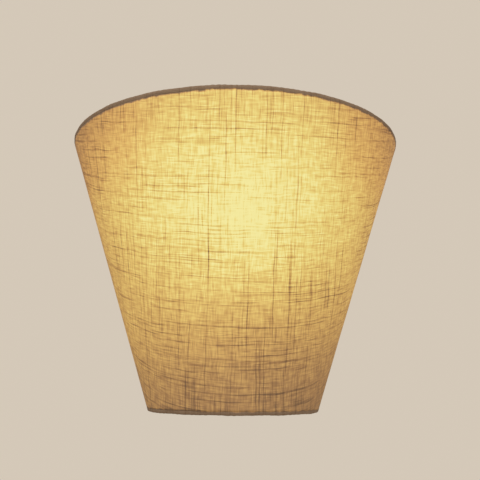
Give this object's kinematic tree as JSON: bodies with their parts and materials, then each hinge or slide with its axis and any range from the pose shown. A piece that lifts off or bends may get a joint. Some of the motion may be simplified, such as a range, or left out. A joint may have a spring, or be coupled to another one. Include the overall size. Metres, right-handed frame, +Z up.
{
  "type": "fabric shade wall light",
  "caption": "Wall light with a half-cone linen shade, open above and below, hung over a screw lampholder on a pressed steel wall tray.",
  "frame": {"origin": "middle of the two wall fixing slots, on the tray's wall face", "axes": "+Y into the wall, +Z up, +X to the right for someone who faces the light"},
  "size_m": [0.2814, 0.1426, 0.224],
  "materials": {
    "linen": "natural linen weave with slubs, glowing where the lamp is behind it",
    "hem_linen": "linen rolled round the frame wire",
    "liner": "translucent warm white laminating sheet",
    "white_wire": "white powder coat",
    "white_steel": "white satin enamel on pressed steel",
    "zinc_steel": "bright zinc plate",
    "brass": "plain turned or rolled brass",
    "white_moulding": "heat resisting white moulding",
    "insulator": "cream moulded insulator",
    "clear_block": "milky polyamide",
    "rubber_bush": "black rubber",
    "lead_brown": "brown insulation",
    "lead_blue": "blue insulation",
    "opal_glass": "frosted opal glass, lit",
    "nickel": "rolled plated base",
    "black_glass": "black fused insulator",
    "solder": "dull solder",
    "clear_glass": "clear stem glass",
    "tungsten": "drawn wire"
  },
  "bodies": {
    "wall_unit": {"back_tray": "white_steel", "cable_bush": "rubber_bush", "terminal_block": "clear_block", "terminal_tubes": "brass", "terminal_screws": "zinc_steel", "block_screw": "zinc_steel", "earth_washer": "brass", "earth_screw": "brass", "holder_arm": "white_steel", "arm_rivets": "zinc_steel", "nipple": "zinc_steel", "nipple_washer": "zinc_steel", "nipple_nut": "brass", "holder_cap": "white_moulding", "holder_terminals": "brass", "holder_terminal_screws": "zinc_steel", "holder_insert": "insulator", "contact_rivets": "brass", "screw_shell": "brass", "centre_contact": "brass", "holder_skirt": "white_moulding", "lead_brown": "lead_brown", "lead_blue": "lead_blue"},
    "bulb_tip_carrier": {"bulb_tip": "solder"},
    "bulb": {"bulb_globe": "opal_glass", "bulb_cap": "nickel", "bulb_insulator": "black_glass", "bulb_stem": "clear_glass", "bulb_wires": "tungsten", "bulb_filament": "tungsten"},
    "shade": {"shade_cover": "linen", "shade_liner": "liner", "hem_top": "hem_linen", "hem_bottom": "hem_linen", "hem_left": "hem_linen", "hem_right": "hem_linen", "hoop_top": "white_wire", "hoop_bottom": "white_wire", "rod_left": "white_wire", "rod_right": "white_wire", "top_back_wire": "white_wire", "hanger_bar": "white_wire"}
  },
  "joints": [
    {"name": "shade_lift", "type": "slide", "parent": "wall_unit", "child": "shade", "axis": [0, 0, 1], "range_m": [0, 0.2]},
    {"name": "bulb_rise", "type": "slide", "parent": "wall_unit", "child": "bulb_tip_carrier", "axis": [0, 0, 1], "range_m": [0, 0.0141]},
    {"name": "bulb_turn", "type": "hinge", "parent": "bulb_tip_carrier", "child": "bulb", "pos_m": [0, -0.04, 0.03], "axis": [0, 0, 1], "range_deg": [0, 1800]}
  ],
  "couplings": [
    {"joint": "bulb_turn", "follows": "bulb_rise", "rad_per_m": 2226.5}
  ]
}
